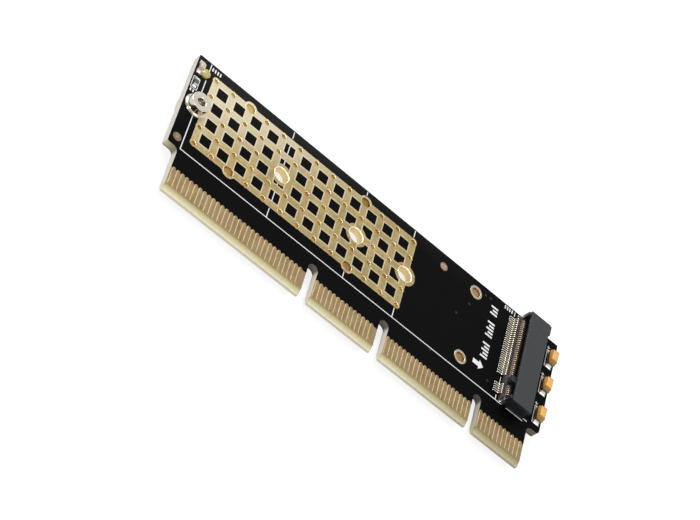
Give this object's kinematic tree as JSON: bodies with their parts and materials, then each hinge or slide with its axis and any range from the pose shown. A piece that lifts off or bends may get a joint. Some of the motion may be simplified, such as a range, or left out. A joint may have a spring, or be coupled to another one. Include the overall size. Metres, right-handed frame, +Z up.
{
  "type": "nvme adapter card",
  "caption": "Low-profile adapter card that holds a slim solid-state module flat above a gold heat grid and plugs into a long keyed edge connector.",
  "frame": {"origin": "centre of the bounding box in plan, at the underside of the standoff's nut, the lowest point", "axes": "+X along the card towards the module socket, +Y from the contact edge to the opposite long edge, +Z up out of the component side"},
  "size_m": [0.0896, 0.0322, 0.0058],
  "materials": {
    "laminate": "woven glass-fibre epoxy",
    "solder_mask": "matte black film",
    "grid_gold": "satin gold plate",
    "via_gold": "gold plate",
    "contact_gold": "hard gold plate",
    "bare_copper": "thin gold over copper",
    "white_print": "screen-printed ink",
    "tinned_pad": "dull tinned",
    "nickel": "polished nickel plate",
    "socket_plastic": "moulded, fine matt",
    "contact_metal": "gold flash",
    "tin": "tinned",
    "capacitor_resin": "moulded epoxy",
    "lamp_ceramic": "white moulded",
    "lens_resin": "tinted clear resin",
    "resistor_ceramic": "glazed ceramic"
  },
  "bodies": {
    "root": {"circuit_board": "laminate", "solder_mask_front": "solder_mask", "solder_mask_back": "solder_mask", "heat_grid": "grid_gold", "heat_vias": "via_gold", "module_hole_plating": "via_gold", "sink_hole_plating": "via_gold", "standoff_hole_plating": "via_gold", "edge_contacts_front": "contact_gold", "edge_contacts_back": "contact_gold", "alignment_dots": "bare_copper", "printed_marks": "white_print", "socket_pads": "tinned_pad", "capacitor_pads": "tinned_pad", "lamp_pads": "tinned_pad", "resistor_pads": "tinned_pad", "standoff": "nickel", "standoff_nut": "nickel", "socket_housing": "socket_plastic", "socket_lower_contacts": "contact_metal", "socket_upper_contacts": "contact_metal", "socket_anchors": "tin", "capacitor_1_terminals": "tin", "capacitor_2_terminals": "tin", "capacitor_3_terminals": "tin", "lamp_terminals": "tin", "resistor_end_caps": "tin", "capacitor_1_body": "capacitor_resin", "capacitor_2_body": "capacitor_resin", "capacitor_3_body": "capacitor_resin", "lamp_housing": "lamp_ceramic", "lamp_lens": "lens_resin", "resistor_body": "resistor_ceramic"}
  },
  "joints": []
}
